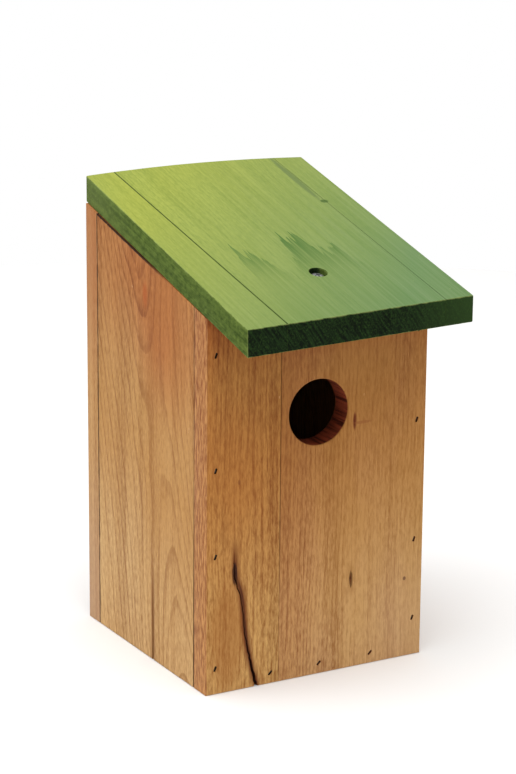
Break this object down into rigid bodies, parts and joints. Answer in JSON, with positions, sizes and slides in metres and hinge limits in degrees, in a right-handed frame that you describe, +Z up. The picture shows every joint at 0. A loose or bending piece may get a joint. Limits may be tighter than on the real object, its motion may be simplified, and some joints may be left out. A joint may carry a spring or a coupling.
{
  "type": "birdhouse",
  "caption": "Wooden nest box with a round entrance hole and a green, sloped, overhanging roof that swivels on one recessed screw.",
  "frame": {"origin": "centre of the box's base, on the surface it stands on", "axes": "+Z up, -Y out of the front panel with the entrance hole, +X to the right of someone who faces the front"},
  "size_m": [0.1232, 0.1637, 0.2274],
  "materials": {
    "oiled_wood": "oiled softwood, satin",
    "green_stained_wood": "softwood with a translucent green stain, matt",
    "brad_steel": "dull bare steel",
    "zinc_plated_steel": "zinc plated"
  },
  "bodies": {
    "box": {"front_panel_narrow_stave": "oiled_wood", "front_panel_wide_stave": "oiled_wood", "back_panel_wide_stave": "oiled_wood", "back_panel_narrow_stave": "oiled_wood", "left_side_board": "oiled_wood", "right_side_board": "oiled_wood", "floor_board": "oiled_wood", "front_brad_left_1": "brad_steel", "front_brad_left_2": "brad_steel", "front_brad_left_3": "brad_steel", "front_brad_left_4": "brad_steel", "front_brad_right_1": "brad_steel", "front_brad_right_2": "brad_steel", "front_brad_right_3": "brad_steel", "front_brad_right_4": "brad_steel", "front_brad_bottom_1": "brad_steel", "front_brad_bottom_2": "brad_steel", "front_brad_bottom_3": "brad_steel", "back_brad_left_1": "brad_steel", "back_brad_left_2": "brad_steel", "back_brad_left_3": "brad_steel", "back_brad_left_4": "brad_steel", "back_brad_right_1": "brad_steel", "back_brad_right_2": "brad_steel", "back_brad_right_3": "brad_steel", "back_brad_right_4": "brad_steel", "back_brad_bottom_1": "brad_steel", "back_brad_bottom_2": "brad_steel", "back_brad_bottom_3": "brad_steel", "roof_swivel_screw": "zinc_plated_steel", "hanger_plate": "zinc_plated_steel", "hanger_screw_upper": "zinc_plated_steel", "hanger_screw_lower": "zinc_plated_steel"},
    "roof": {"roof_left_stave": "green_stained_wood", "roof_middle_stave": "green_stained_wood", "roof_right_stave": "green_stained_wood"}
  },
  "joints": [
    {"name": "roof_swivel", "type": "hinge", "parent": "box", "child": "roof", "pos_m": [0.0014, -0.0572, 0.19692], "axis": [0, -0.2453, 0.9694], "continuous": true}
  ]
}
